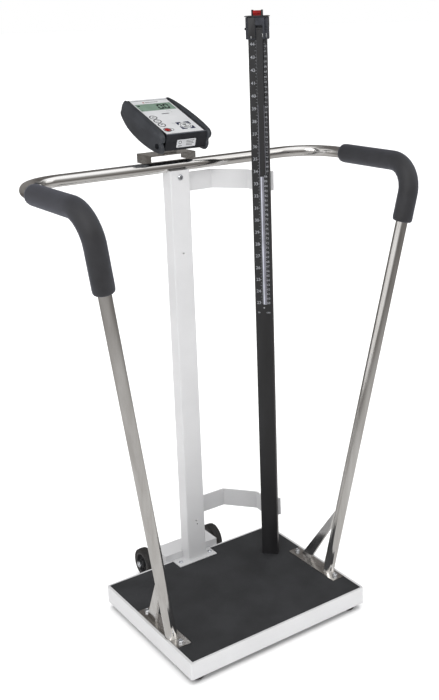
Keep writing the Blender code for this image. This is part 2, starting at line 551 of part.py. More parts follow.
def build_indicator():
    # bracket saddled on the rail, with a yoke for the tilting indicator
    bracket = add("indicator_bracket", box("indicator_bracket", (-0.0540, 0.0540),
                                           (0.1700, 0.2250), (0.9440, 0.9630)), STEEL)
    cut(bracket, box("bracket_under", (-0.0515, 0.0515), (0.1, 0.3), (0.9, 0.9605)))
    cut(bracket, cylinders("bracket_saddle", [(RAIL_BACK, RAIL_Z)], RAIL_R + GAP, -0.07, 0.07,
                           axis="X", segments=32))
    head = empty("indicator_frame", (0, IND_Y, IND_Z), (IND_TILT, 0, 0))
    bpy.context.view_layer.update()
    pivot = head.matrix_world @ Vector((0, TILT_Y, TILT_Z))
    yoke = add("tilt_yoke", box("tilt_yoke", (-0.0175, 0.0175), (pivot.y - 0.0090, pivot.y + 0.0090),
                                (0.9633, pivot.z + 0.0058)), STEEL)
    cut(yoke, box("yoke_gap", (-0.0147, 0.0147), (0.1, 0.3), (0.9658, 1.1)))
    cut(yoke, cylinders("yoke_bore", [(pivot.y, pivot.z)], 0.0023, -0.03, 0.03, axis="X"))
    add("tilt_bolt", lathe("tilt_bolt", [(0.0, -0.0220), (0.0045, -0.0220), (0.0045, -0.0178),
                                         (0.0020, -0.0178), (0.0020, 0.0178), (0.0045, 0.0178),
                                         (0.0045, 0.0210), (0.0, 0.0210)], axis="X",
                           segments=12), ZINC, loc=pivot, smooth=40)

    tilt = empty("tilt_axis", pivot, (IND_TILT, 0, 0))
    w, l = IND_HALF_W, IND_HALF_L
    here = (0, -TILT_Y, -TILT_Z)
    lower = add("indicator_lower", prism("indicator_lower", [
        (-l, -0.0165), (-l, -0.0330), (-l + 0.0060, -0.0380), (l - 0.0200, -0.0380),
        (l, -0.0300), (l, -0.0165)], -w, w, axis="X"), BLACK_ABS, tilt, loc=here)
    cut(lower, box("lower_hollow", (-w + 0.0022, w - 0.0022), (-l + 0.0022, l - 0.0022),
                   (-0.0320, 0.0)))
    join(lower, prism("tilt_lug", [(TILT_Y + 0.0075, -0.0370), (TILT_Y - 0.0075, -0.0370)]
                      + arc(TILT_Y, TILT_Z, 0.0065, 190, 350, 6), -0.0143, 0.0143, axis="X"))
    cut(lower, cylinders("lug_bore", [(TILT_Y, TILT_Z)], 0.0023, -0.03, 0.03, axis="X"))

    upper = add("indicator_upper", prism("indicator_upper", [
        (-l, -0.0162), (-l, -0.0030), (-l + 0.0022, 0.0004), (l, 0.0004), (l, -0.0162)],
        -w, w, axis="X"), BLACK_ABS, tilt, loc=here)
    cut(upper, box("upper_hollow", (-w + 0.0022, w - 0.0022), (-l + 0.0022, l - 0.0022),
                   (-0.03, -0.0062)))
    cut(upper, box("film_recess", (-0.0441, 0.0441), (-0.0768, 0.0768), (-0.0011, 0.01)))
    cut(upper, box("display_pocket", (-0.0422, 0.0422), (0.0287, 0.0618), (-0.02, 0.01)))
    places = [(KEY_X, y) for y in KEY_YS.values()]
    cut(upper, cylinders("key_wells", places, KEY_R + 0.0006, -0.0030, 0.01))

    film = add("keypad_overlay", box("keypad_overlay", (-0.0438, 0.0438), (-0.0765, 0.0765),
                                     (-0.0008, 0.0)), FILM, tilt, loc=here)
    cut(film, box("film_window", (-0.0416, 0.0416), (0.0290, 0.0615), (-0.01, 0.01)))
    cut(film, cylinders("film_key_holes", places, KEY_R + GAP, -0.01, 0.01, segments=20))
    add("display_panel", box("display_panel", (-0.0413, 0.0413), (0.0293, 0.0612),
                             (-0.0060, -0.0002)), LCD, tilt, loc=here)
    add("circuit_board", box("circuit_board", (-0.0400, 0.0400), (-0.0740, 0.0740),
                             (-0.0200, -0.0184)), BOARD, tilt, loc=here)
    for name, y in KEY_YS.items():
        press = empty(name + "_axis", (KEY_X, y - TILT_Y, -TILT_Z), parent=tilt)
        add(name, lathe(name, [(0.0, -0.0007), (KEY_R, -0.0007), (KEY_R, 0.0003),
                               (KEY_R - 0.0006, 0.0006), (0.0, 0.0006)], segments=20),
            RED if name == "key_power" else FILM, press, smooth=40)
    for side, s in (("left", -1), ("right", 1)):
        x = sorted((s * (w + GAP), s * 0.0640))
        add("cheek_" + side, prism("cheek", cheek_outline(), x[0], x[1], axis="X", bevel=0.0018),
            BLACK_ABS, tilt, loc=here, smooth=40)


clear_scene()
build_platform()
build_column()
build_handrail()
build_wheels()
build_rod()
build_indicator()
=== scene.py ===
"""Look of the patient scale: materials, detailed pieces, lights and camera.

Lengths are metres.  Print, segments and plates lie in flat frames whose Z points out of them.
"""
import math

import bmesh
import bpy
from mathutils import Matrix, Vector


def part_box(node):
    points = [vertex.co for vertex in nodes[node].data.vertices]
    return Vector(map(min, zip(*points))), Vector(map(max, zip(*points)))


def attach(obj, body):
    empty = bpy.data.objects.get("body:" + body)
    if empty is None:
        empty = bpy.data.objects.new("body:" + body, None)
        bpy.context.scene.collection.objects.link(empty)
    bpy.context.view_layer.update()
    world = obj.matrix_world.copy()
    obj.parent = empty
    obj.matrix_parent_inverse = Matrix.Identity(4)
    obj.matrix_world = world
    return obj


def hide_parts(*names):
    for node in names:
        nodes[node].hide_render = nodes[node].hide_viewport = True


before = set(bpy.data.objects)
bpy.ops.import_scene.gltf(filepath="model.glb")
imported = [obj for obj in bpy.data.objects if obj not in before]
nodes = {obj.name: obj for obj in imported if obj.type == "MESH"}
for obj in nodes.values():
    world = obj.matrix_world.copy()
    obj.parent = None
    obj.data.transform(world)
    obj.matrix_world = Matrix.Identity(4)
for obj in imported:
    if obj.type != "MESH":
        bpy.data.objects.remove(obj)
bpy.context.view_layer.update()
scene = bpy.context.scene

INK = 0.00006  # how far print stands proud of its surface
UPRIGHT = Matrix.Rotation(math.pi / 2, 4, "X")  # stands a flat frame up, facing -Y


# -------------------- camera
CAMERA_AT = (-1.0641, -1.6227, 1.2507)
CAMERA_BACK = Vector((-0.5520, -0.7925, 0.2593)).normalized()
CAMERA_RIGHT = Vector((0.8160, -0.5774, -0.0277))
LENS, SENSOR, SHIFT = 52.45, 36.0, (-0.0448, -0.1011)


def make_camera():
    """Camera the scale is shown from, ahead of it and to its left."""
    data = bpy.data.cameras.new("camera")
    cam = bpy.data.objects.new("camera", data)
    scene.collection.objects.link(cam)
    right = (CAMERA_RIGHT - CAMERA_BACK * CAMERA_RIGHT.dot(CAMERA_BACK)).normalized()
    turn = Matrix((right, CAMERA_BACK.cross(right), CAMERA_BACK)).transposed().to_4x4()
    cam.matrix_world = Matrix.Translation(CAMERA_AT) @ turn
    data.sensor_width = SENSOR
    data.lens = LENS
    data.shift_x, data.shift_y = SHIFT
    scene.camera = cam


make_camera()


# -------------------- materials
def ramp(graph, source, stops):
    """Colour ramp fed by a value; stops are (position, colour)."""
    out = graph.nodes.new("ShaderNodeValToRGB")
    elements = out.color_ramp.elements
    for end in (0, -1):
        elements[end].position, elements[end].color = stops[end][0], (*stops[end][1], 1)
    for position, colour in stops[1:-1]:
        elements.new(position).color = (*colour, 1)
    graph.links.new(source, out.inputs["Fac"])
    return out.outputs["Color"]


EVEN = (1, 1, 1)


def noise(graph, scale, stretch=EVEN, kind="Noise", detail=3.0):
    """Noise over the piece's own coordinates; scale is cells for each metre."""
    where = graph.nodes.new("ShaderNodeTexCoord")
    place = graph.nodes.new("ShaderNodeMapping")
    place.inputs["Scale"].default_value = [scale * s for s in stretch]
    graph.links.new(where.outputs["Object"], place.inputs["Vector"])
    tex = graph.nodes.new("ShaderNodeTex" + kind)
    tex.inputs["Scale"].default_value = 1.0
    if kind == "Noise":
        tex.inputs["Detail"].default_value = detail
    graph.links.new(place.outputs["Vector"], tex.inputs["Vector"])
    return tex.outputs["Fac" if kind == "Noise" else "Distance"]


def remap(graph, source, low, high, start=0.0, stop=1.0):
    """Value carried from the span start..stop to low..high, and held at its ends."""
    out = graph.nodes.new("ShaderNodeMapRange")
    out.inputs["From Min"].default_value = start
    out.inputs["From Max"].default_value = stop
    out.inputs["To Min"].default_value = low
    out.inputs["To Max"].default_value = high
    graph.links.new(source, out.inputs["Value"])
    return out.outputs["Result"]


def bumps(graph, layers):
    """Chain of bumps; each layer is (height source, strength, depth in metres)."""
    normal = None
    for height, strength, depth in layers:
        out = graph.nodes.new("ShaderNodeBump")
        out.inputs["Strength"].default_value = strength
        out.inputs["Distance"].default_value = depth
        graph.links.new(height, out.inputs["Height"])
        if normal:
            graph.links.new(normal, out.inputs["Normal"])
        normal = out.outputs["Normal"]
    return normal


def surface(name, dark, light, rough, grain, mottle=(14.0,), metallic=0.0, extra=None):
    """Principled material: colour between dark and light, roughness between the pair rough.

    grain lists the bump layers, each its scale, strength and depth, then any stretch and kind of
    noise; mottle is the slow change's scale and any stretch; extra holds other constant inputs.
    """
    mat = bpy.data.materials.new(name)
    mat.use_nodes = True
    graph = mat.node_tree
    bsdf = graph.nodes["Principled BSDF"]
    slow = noise(graph, *mottle, detail=4.0)
    graph.links.new(ramp(graph, slow, [(0.35, dark), (0.65, light)]), bsdf.inputs["Base Color"])
    graph.links.new(remap(graph, slow, rough[0], rough[1], 0.3, 0.7), bsdf.inputs["Roughness"])
    layers = [(noise(graph, scale, *how), strength, depth)
              for scale, strength, depth, *how in grain]
    if layers:
        graph.links.new(bumps(graph, layers), bsdf.inputs["Normal"])
    bsdf.inputs["Metallic"].default_value = metallic
    for key, value in (extra or {}).items():
        bsdf.inputs[key].default_value = value
    return mat


# each row: name, dark and light colour, roughness span, bump layers, slow mottle
MAT = {
    "white": surface("powder_coat_white", (0.69, 0.69, 0.695), (0.73, 0.73, 0.735),
                     (0.34, 0.44), [(700.0, 0.22, 0.0004)], (9.0,),
                     extra={"Coat Weight": 0.12, "Coat Roughness": 0.25}),
    "mat": surface("mat_ribbed_rubber", (0.028, 0.029, 0.031), (0.040, 0.041, 0.044),
                   (0.70, 0.86), [(620.0, 0.45, 0.0005, EVEN, "Voronoi"),
                                  (2200.0, 0.30, 0.0002)], (16.0,),
                   extra={"Specular IOR Level": 0.30}),
    "foot": surface("foot_rubber", (0.018, 0.016, 0.015), (0.030, 0.026, 0.024), (0.6, 0.8),
                    [(900.0, 0.3, 0.0004)]),
    "alloy": surface("machined_aluminium", (0.55, 0.56, 0.57), (0.66, 0.67, 0.68), (0.28, 0.42),
                     [(300.0, 0.15, 0.0002, (0.1, 4, 4))], metallic=1.0),
    "zinc": surface("zinc_plate", (0.60, 0.62, 0.66), (0.74, 0.76, 0.79), (0.16, 0.30),
                    [(900.0, 0.12, 0.0002)], (90.0,), metallic=1.0),
    "plate": surface("ground_stainless", (0.56, 0.54, 0.515), (0.76, 0.745, 0.725), (0.16, 0.30),
                     [(260.0, 0.16, 0.0002, (6, 0.4, 1))], (22.0, (3, 1, 3)), metallic=1.0),
    "foam": surface("grip_foam", (0.019, 0.019, 0.021), (0.028, 0.028, 0.032), (0.50, 0.64),
                    [(2600.0, 0.35, 0.0003), (160.0, 0.12, 0.0008)], (24.0,),
                    extra={"Sheen Weight": 0.22, "Sheen Roughness": 0.45,
                           "Sheen Tint": (0.75, 0.80, 1.0, 1.0)}),
    "tyre": surface("wheel_rubber", (0.012, 0.011, 0.011), (0.026, 0.023, 0.022), (0.55, 0.80),
                    [(900.0, 0.35, 0.0004)], (120.0,)),
    "hub": surface("wheel_plastic", (0.016, 0.016, 0.018), (0.026, 0.026, 0.028), (0.35, 0.50),
                   [(1500.0, 0.25, 0.0003)], (60.0,)),
    "anodised": surface("black_anodised", (0.015, 0.015, 0.016), (0.022, 0.022, 0.024),
                        (0.36, 0.50), [(700.0, 0.15, 0.0002, (1, 1, 0.03))],
                        (30.0, (1, 1, 0.2)), extra={"Specular IOR Level": 0.50}),
    "rod_side": surface("black_anodised_head", (0.026, 0.028, 0.036), (0.040, 0.043, 0.054),
                        (0.32, 0.46), [(900.0, 0.2, 0.0002)], (60.0,),
                        extra={"Specular IOR Level": 0.35}),
    "print": surface("white_print", (0.34, 0.35, 0.38), (0.46, 0.47, 0.50), (0.45, 0.6),
                     [(1500.0, 0.1, 0.0001)], (200.0,)),
    "strip": surface("reading_strip", (0.50, 0.51, 0.58), (0.62, 0.63, 0.71), (0.25, 0.4),
                     [(1200.0, 0.1, 0.0001)], (40.0,)),
    # Painted shade for the band beside the reading strip, and painted highlight lines on the
    # blade's edges
    "strip_shade": surface("reading_strip_shade", (0.17, 0.17, 0.20), (0.23, 0.23, 0.27),
                           (0.3, 0.45), [(1200.0, 0.1, 0.0001)], (40.0,)),
    "red": surface("red_button", (0.30, 0.004, 0.003), (0.44, 0.008, 0.006), (0.30, 0.44),
                   [(900.0, 0.15, 0.0003)], (120.0,), extra={"Specular IOR Level": 0.25}),
    "case": surface("indicator_case", (0.013, 0.0135, 0.0155), (0.021, 0.022, 0.026),
                    (0.40, 0.52), [(2400.0, 0.40, 0.0003), (900.0, 0.10, 0.0003, EVEN, "Voronoi")],
                    (40.0,), extra={"Specular IOR Level": 0.20}),
    # Painted highlight: the case's dark plastic made lighter on the cheeks, for their brighter
    # crease and upper facet
    "cheek": surface("indicator_cheek_painted_highlight", (0.030, 0.033, 0.039), (0.043, 0.047, 0.055),
                     (0.34, 0.46), [(2400.0, 0.35, 0.0003),
                                    (900.0, 0.08, 0.0003, EVEN, "Voronoi")], (40.0,)),
    # Painted highlight: a lighter colour on the case's front edge, in place of light on its
    # chamfer
    "lip": surface("indicator_edge_highlight", (0.070, 0.078, 0.095), (0.10, 0.11, 0.13), (0.25, 0.35),
                   [(2400.0, 0.2, 0.0002)], (40.0,)),
    "film": surface("keypad_film", (0.76, 0.77, 0.78), (0.82, 0.83, 0.84), (0.26, 0.38),
                    [(1800.0, 0.12, 0.0002)], (30.0,)),
    "lcd": surface("display_glass", (0.215, 0.315, 0.245), (0.255, 0.365, 0.290), (0.16, 0.24),
                   [(60.0, 0.04, 0.0003)], (35.0,), extra={"Specular IOR Level": 0.30}),
    "ink": surface("dark_ink", (0.005, 0.006, 0.008), (0.012, 0.013, 0.016), (0.5, 0.6),
                   [(1500.0, 0.1, 0.0001)], (200.0,), extra={"Specular IOR Level": 0.10}),
    "blue_ink": surface("blue_ink", (0.010, 0.015, 0.050), (0.018, 0.024, 0.070), (0.5, 0.6),
                        [(1500.0, 0.1, 0.0001)], (200.0,), extra={"Specular IOR Level": 0.10}),
    "label": surface("metal_label", (0.60, 0.61, 0.63), (0.72, 0.73, 0.75), (0.28, 0.4),
                     [(500.0, 0.1, 0.0001, (0.2, 4, 4))], (60.0,), metallic=0.3),
    "board": surface("circuit_board", (0.010, 0.10, 0.035), (0.018, 0.15, 0.055), (0.4, 0.55),
                     [(500.0, 0.2, 0.0003, EVEN, "Voronoi")], (200.0,)),
}


def polished(name, stretch, low, high):
    """Drawn and polished stainless tube: fine lines along it, faint heat and handling marks."""
    return surface(name, (0.70, 0.685, 0.665), (0.84, 0.83, 0.815), (low, high),
                   [(420.0, 0.05, 0.0002, stretch)],
                   (60.0, tuple(max(s, 0.06) for s in stretch)), metallic=1.0)


MAT["tube_x"] = polished("stainless_cross_rail", (0.03, 1, 1), 0.08, 0.16)
MAT["tube_y"] = polished("stainless_side_rail", (1, 0.03, 1), 0.10, 0.20)
MAT["tube_z"] = polished("stainless_leg", (1, 1, 0.03), 0.10, 0.20)


def dress(look, *names, bevel=0.0, segments=2):
    """Gives CAD nodes a material and, where asked, rounded edges."""
    for name in names:
        obj = nodes[name]
        obj.data.materials.clear()
        obj.data.materials.append(MAT[look])
        for poly in obj.data.polygons:
            poly.material_index = 0
        if bevel:
            mod = obj.modifiers.new("edge", "BEVEL")
            mod.width = bevel
            mod.segments = segments
            mod.limit_method = "ANGLE"
            mod.angle_limit = math.radians(35)


# -------------------- mesh helpers
def show(name, mesh, look, body, replaced=(), smooth=35):
    """Links a piece, gives it its material and rides it on its body."""
    obj = bpy.data.objects.new(name, mesh)
    scene.collection.objects.link(obj)
    mesh.materials.clear()
    for item in (look if isinstance(look, (list, tuple)) else [look]):
        mesh.materials.append(MAT[item])
    if smooth:
        mesh.shade_smooth()
        mesh.set_sharp_from_angle(angle=math.radians(smooth))
    if replaced:
        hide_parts(*replaced)
    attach(obj, body)
    return obj


def finish_mesh(bm, name, place=None):
    """Mesh of bm, moved to place, with its faces turned outwards."""
    if place is not None:
        bmesh.ops.transform(bm, matrix=place, verts=bm.verts)
    bmesh.ops.recalc_face_normals(bm, faces=bm.faces)
    mesh = bpy.data.meshes.new(name)
    bm.to_mesh(mesh)
    bm.free()
    return mesh


def put(name, bm, look, body, place=None, smooth=35):
    """Shows an extra piece, drawn in bm and moved to place."""
    show(name, finish_mesh(bm, name, place), look, body, smooth=smooth)


def fillet_path(points, radii, steps=24):
    """Polyline with its corners replaced by arcs of the given radii."""
    points = [Vector(p) for p in points]
    path = [points[0]]
    for before, here, after, radius in zip(points, points[1:], points[2:], radii):
        a, b = (before - here).normalized(), (after - here).normalized()
        half = a.angle(b) / 2
        centre = here + (a + b).normalized() * (radius / math.sin(half))
        start = here + a * (radius / math.tan(half)) - centre
        end = here + b * (radius / math.tan(half)) - centre
        axis = start.cross(end).normalized()
        for i in range(steps + 1):
            path.append(centre + Matrix.Rotation((math.pi - 2 * half) * i / steps, 3, axis)
                        @ start)
    path.append(points[-1])
    return path


def walk(path, spacing):
    """The path again, with points no further apart than spacing."""
    out = [path[0]]
    for a, b in zip(path, path[1:]):
        n = max(1, math.ceil((b - a).length / spacing))
        out += [a.lerp(b, i / n) for i in range(1, n + 1)]
    return out


def sweep(name, path, radius_at, inner, segments=40, level_ends=False, shape=None):
    """Round tube along a path, with a bore of radius inner.

    radius_at(length, total) is the skin's radius that far along.  shape(length, total, out,
    radius) may change it again for the skin point in the direction out from the middle.
    level_ends cuts the tube's ends level instead of square.
    """
    steps = [(b - a).normalized() for a, b in zip(path, path[1:])]
    tangents = [(a + b).normalized() for a, b in zip([steps[0]] + steps, steps + [steps[-1]])]
    total = sum((b - a).length for a, b in zip(path, path[1:]))
    side = tangents[0].cross(Vector((0.3, 0.9, 0.1))).normalized()
    bm = bmesh.new()
    rings, length = [], 0.0
    for i, (point, tangent) in enumerate(zip(path, tangents)):
        if i:
            length += (point - path[i - 1]).length
        side = (side - tangent * side.dot(tangent)).normalized()
        other = tangent.cross(side)
        pair = []
        for r in (radius_at(length, total), inner):
            ring = []
            for k in range(segments):
                turn = 2 * math.pi * k / segments
                out = side * math.cos(turn) + other * math.sin(turn)
                reach = shape(length, total, out, r) if shape and r != inner else r
                ring.append(point + out * reach)
            if level_ends and i in (0, len(path) - 1):
                ring = [co - tangent * ((co.z - point.z) / tangent.z) for co in ring]
            pair.append([bm.verts.new(co) for co in ring])
        rings.append(pair)
    for k in range(segments):
        j = (k + 1) % segments
        for one, two in zip(rings, rings[1:]):
            bm.faces.new((one[0][k], one[0][j], two[0][j], two[0][k]))
            bm.faces.new((one[1][j], one[1][k], two[1][k], two[1][j]))
        for ring in (rings[0], rings[-1]):
            bm.faces.new((ring[0][k], ring[0][j], ring[1][j], ring[1][k]))
    return finish_mesh(bm, name)


def lathe(name, profile, place=None, segments=96, reach=None):
    """Closed (radius, height) profile turned about Z.

    reach(angle, radius, height) may change the radius and height of a point.
    """
    bm = bmesh.new()
    rings = []
    for radius, height in profile:
        ring = []
        for i in range(segments if radius else 1):
            turn = 2 * math.pi * i / segments
            r, h = reach(turn, radius, height) if reach and radius else (radius, height)
            ring.append(bm.verts.new((r * math.cos(turn), r * math.sin(turn), h)))
        rings.append(ring)
    pairs = list(zip(rings, rings[1:]))
    if profile[0][0]:
        pairs.append((rings[-1], rings[0]))
    for low, high in pairs:
        for i in range(segments):
            j = (i + 1) % segments
            around = [low[i % len(low)], low[j % len(low)], high[j % len(high)],
                      high[i % len(high)]]
            bm.faces.new(list(dict.fromkeys(around)))
    return finish_mesh(bm, name, place)


def arc(cx, cy, radius, start, end, steps):
    """Points of an arc, from start to end in degrees."""
    turns = [math.radians(start + (end - start) * i / steps) for i in range(steps + 1)]
    return [(cx + radius * math.cos(a), cy + radius * math.sin(a)) for a in turns]


def slab(bm, outline, low, high, bevel=0.0):
    """Straight block over a closed outline in X and Y, between two heights."""
    ends = [[bm.verts.new((x, y, z)) for x, y in outline] for z in (low, high)]
    caps = [bm.faces.new(ends[0]), bm.faces.new(ends[1])]
    for i in range(len(outline)):
        j = (i + 1) % len(outline)
        bm.faces.new((ends[0][i], ends[0][j], ends[1][j], ends[1][i]))
    if bevel:
        bmesh.ops.bevel(bm, geom=list(caps[1].edges), offset=bevel, segments=2, profile=0.5,
                        affect="EDGES")


def slabs(outlines, low=0.0, high=INK, bevel=0.0):
    """Blocks over several outlines, in a bmesh of their own."""
    bm = bmesh.new()
    for outline in outlines:
        slab(bm, outline, low, high, bevel)
    return bm


def rectangle(x0, x1, y0, y1):
    """Outline of a rectangle."""
    return [(x0, y0), (x1, y0), (x1, y1), (x0, y1)]


def rounded(x0, x1, y0, y1, radius, steps):
    """Outline of a rectangle with round corners."""
    return (arc(x1 - radius, y0 + radius, radius, -90, 0, steps)
            + arc(x1 - radius, y1 - radius, radius, 0, 90, steps)
            + arc(x0 + radius, y1 - radius, radius, 90, 180, steps)
            + arc(x0 + radius, y0 + radius, radius, 180, 270, steps))


def disc(cx, cy, radius, steps):
    """Outline of a disc."""
    return arc(cx, cy, radius, 0, 360, steps)[:-1]


def ring_plate(bm, cx, cy, outer, inner, low, high, steps=40):
    """Flat ring between two heights."""
    loops = [[bm.verts.new((x, y, z)) for x, y in disc(cx, cy, r, steps)]
             for r, z in ((outer, low), (outer, high), (inner, high), (inner, low))]
    for one, two in zip(loops, loops[1:] + loops[:1]):
        for i in range(steps):
            j = (i + 1) % steps
            bm.faces.new((one[i], one[j], two[j], two[i]))


def words(text, size, place):
    """Mesh of a short generic text, centred on the origin of place."""
    curve = bpy.data.curves.new("text", "FONT")
    curve.body = text
    curve.size = size
    curve.align_x, curve.align_y = "CENTER", "CENTER"
    curve.extrude = INK / 2
    curve.resolution_u = 2
    obj = bpy.data.objects.new("text", curve)
    scene.collection.objects.link(obj)
    mesh = bpy.data.meshes.new_from_object(obj)
    bpy.data.objects.remove(obj, do_unlink=True)
    bpy.data.curves.remove(curve)
    mesh.transform(place @ Matrix.Translation((0, 0, INK / 2)))
    return mesh


def merged(name, meshes):
    """One mesh in place of several."""
    bm = bmesh.new()
    for mesh in meshes:
        bm.from_mesh(mesh)
        bpy.data.meshes.remove(mesh)
    out = bpy.data.meshes.new(name)
    bm.to_mesh(out)
    bm.free()
    return out


# -------------------- platform
dress("white", "platform_pan", bevel=0.0007, segments=3)
dress("white", "underframe", "column_base_plate", bevel=0.0005)
dress("mat", "mat", bevel=0.0006)
dress("foot", "rod_foot_plug", "foot_front_left", "foot_front_right", "foot_back_left",
      "foot_back_right")
dress("alloy", "load_cell_front_left", "load_cell_front_right", "load_cell_back_left",
      "load_cell_back_right", bevel=0.0004)

# -------------------- column and straps
dress("white", "column_tube", "upper_strap", "lower_strap", "wheel_bracket", bevel=0.0008,
      segments=3)
dress("plate", "indicator_bracket", "tilt_yoke", bevel=0.0004)


def cross_screw(name, node, axis):
    """Pan-head screw with a cross recess, in the place and size of the CAD screw."""
    low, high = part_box(node)
    middle, radius = (low + high) / 2, (high - low).x / 2
    if axis == "Z":
        bottom, top, head = low.z, high.z, 0.0026
        place = Matrix.Translation((middle.x, middle.y, 0.0))
    else:
        bottom, top, head = -high.y, -low.y, 0.0035
        place = Matrix.Translation((middle.x, 0.0, middle.z)) @ UPRIGHT
    seat = top - head
    arms, dip = radius * 0.62, head * 0.45

    def recess(turn, r, h):
        """The cross pressed into the head."""
        across = min(abs(math.sin(turn)), abs(math.cos(turn))) * r
        deep = r < arms and across < radius * 0.16 and h > seat + head * 0.3
        return r, h - (dip if deep else 0.0)

    profile = [(0.0, bottom), (radius * 0.5, bottom), (radius * 0.5, seat), (radius, seat),
               (radius, seat + head * 0.25)]
    profile += [(radius * math.cos(a), seat + head * (0.25 + 0.75 * math.sin(a)))
                for a in (0.15, 0.30, 0.45, 0.60, 0.75)]
    profile += [(radius * part, top) for part in (0.62, 0.50, 0.38, 0.26, 0.20, 0.12)]
    profile += [(0.0, top - dip)]
    show(name, lathe(name, profile, place, 96, recess), "zinc", "base", (node,))


cross_screw("base_screw_head_left", "base_screw_left", "Z")
cross_screw("base_screw_head_right", "base_screw_right", "Z")
cross_screw("column_screw_head", "column_screw", "Y")


def bead(name, loop, radius, look):
    """Weld bead: a rippled round cord along a closed loop of points."""
    bm = bmesh.new()
    rings = []
    count, sides = len(loop), 10
    turns = [2 * math.pi * k / sides for k in range(sides)]
    up = Vector((0, 0, 1))
    for i, point in enumerate(loop):
        tangent = (loop[(i + 1) % count] - loop[i - 1]).normalized()
        out = up.cross(tangent).normalized()
        r = radius * (0.92 + 0.08 * math.cos(i * 2.1))
        rings.append([bm.verts.new(point + out * (r * math.cos(a)) + up * (r * math.sin(a)))
                      for a in turns])
    for i in range(count):
        one, two = rings[i], rings[(i + 1) % count]
        for k in range(sides):
            j = (k + 1) % sides
            bm.faces.new((one[k], one[j], two[j], two[k]))
    put(name, bm, look, "base", smooth=60)


def make_column_trim():
    """Weld at the column's foot, plug in its open top and pinhole in its front."""
    low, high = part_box("column_tube")
    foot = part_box("column_base_plate")[1].z
    skin, wall = 0.0004, 0.0022
    loop = rounded(low.x - skin, high.x + skin, low.y - skin, high.y + skin, 0.003, 4)
    bead("column_weld", [Vector((x, y, foot + skin)) for x, y in loop], 0.0011, "white")

    plug = rectangle(low.x + wall, high.x - wall, low.y + wall, high.y - wall)
    put("column_plug", slabs([plug], 0.9215, 0.9240, 0.0006), "white", "base")
    hole = disc((low.x + high.x) / 2 + 0.0030, 0.1350, 0.0014, 24)
    put("column_pinhole", slabs([hole], -low.y, -low.y + INK), "ink", "base",
        UPRIGHT, 0)


make_column_trim()

# -------------------- handrail
RAIL_R, RAIL_BORE = 0.0120, 0.0105
HALF, BACK_Y, FRONT_Y, RAIL_Z = 0.3576, 0.1650, -0.1597, 0.9386
FOOT = Vector((0.2004, -0.0730, 0.0511))
BEND_FRONT, BEND_BACK = 0.056, 0.095
GRIP_R, GRIP_START_Y = 0.0200, 0.0550
GRIP_END_Z = {"left": 0.797, "right": 0.823}


def rail_corners(side):
    """Leg's foot, front corner and back corner of the rail's middle line on one side."""
    s = {"left": -1, "right": 1}[side]
    return [Vector((s * FOOT.x, FOOT.y, FOOT.z)), Vector((s * HALF, FRONT_Y, RAIL_Z)),
            Vector((s * HALF, BACK_Y, RAIL_Z))]


def make_handrail():
    """Bent tube in one piece; its legs, sides and back are brushed along their length."""
    margin = 0.03
    route = rail_corners("left") + rail_corners("right")[::-1]
    path = walk(fillet_path(route, (BEND_FRONT, BEND_BACK, BEND_BACK, BEND_FRONT)), 0.03)
    mesh = sweep("rail", path, lambda length, total: RAIL_R, RAIL_BORE, 48, level_ends=True)
    rail = show("polished_rail", mesh, ["tube_z", "tube_y", "tube_x"], "base", ("handrail",),
                50)
    for poly in rail.data.polygons:
        at = poly.center
        if at.z < RAIL_Z - margin:
            poly.material_index = 0
        elif abs(at.x) > HALF - margin:
            poly.material_index = 1
        else:
            poly.material_index = 2


def make_grip(side):
    """Foam sleeve: soft rounded ends, shallow creases inside its bend."""
    base, top, _ = rail_corners(side)
    s = -1 if side == "left" else 1
    start = Vector((s * HALF, GRIP_START_Y, RAIL_Z))
    end = top + (base - top) * ((top.z - GRIP_END_Z[side]) / (top.z - base.z))
    path = walk(fillet_path([start, top, end], (BEND_FRONT,), 32), 0.004)
    lip, end_drop = 0.0050, 0.0045
    fold_reach, crease_pitch, crease_depth = 0.045, 0.0145, 0.0011
    first = (path[1] - path[0]).normalized()
    last = (path[-1] - path[-2]).normalized()
    extra = [0.0002, 0.0006, 0.0014, 0.0026]
    path = ([path[0]] + [path[0] + first * e for e in extra] + path[2:-2]
            + [path[-1] - last * e for e in reversed(extra)] + [path[-1]])
    inside = (end - top).normalized() + (start - top).normalized()
    inside.normalize()

    def radius_at(length, total):
        """Full radius, rounded off over a lip at both ends."""
        near = min(length, total - length)
        if near >= lip:
            return GRIP_R
        drop = 1 - math.sqrt(max(0.0, 1 - (1 - near / lip) ** 2))
        return GRIP_R - drop * end_drop

    bend_at = (start - top).length - BEND_FRONT * 0.45

    def shape(length, total, out, r):
        """Creases across the inside of the bend, fading out along the grip."""
        away = (length - bend_at) / fold_reach
        fold = math.exp(-away * away) * max(0.0, out.dot(inside)) ** 2
        crease = 0.5 + 0.5 * math.cos((length - bend_at) * 2 * math.pi / crease_pitch)
        return r - crease_depth * fold * crease ** 3

    mesh = sweep("grip", path, radius_at, RAIL_R + 0.0003, 48, shape=shape)
    grip = show("foam_grip_" + side, mesh, "foam", "base", ("grip_" + side,), 60)


make_handrail()
for side in ("left", "right"):
    make_grip(side)

dress("plate", "leg_plate_left", "leg_plate_right", bevel=0.0006, segments=3)
dress("tube_z", "brace_left", "brace_right", bevel=0.0004)


def foot_beads(side):
    """Weld round the leg where its tube meets the plate."""
    base, top, _ = rail_corners(side)
    lean = (top - base).normalized()
    loop, steps = [], 72
    for k in range(steps):
        turn = 2 * math.pi * k / steps
        across = Vector((math.cos(turn), math.sin(turn), 0.0))
        reach = RAIL_R / math.sqrt(1 - across.dot(lean) ** 2)
        loop.append(Vector((base.x, base.y, base.z - 0.0001)) + across * reach)
    bead("leg_weld_" + side, loop, 0.0016, "plate")


for side in ("left", "right"):
    foot_beads(side)


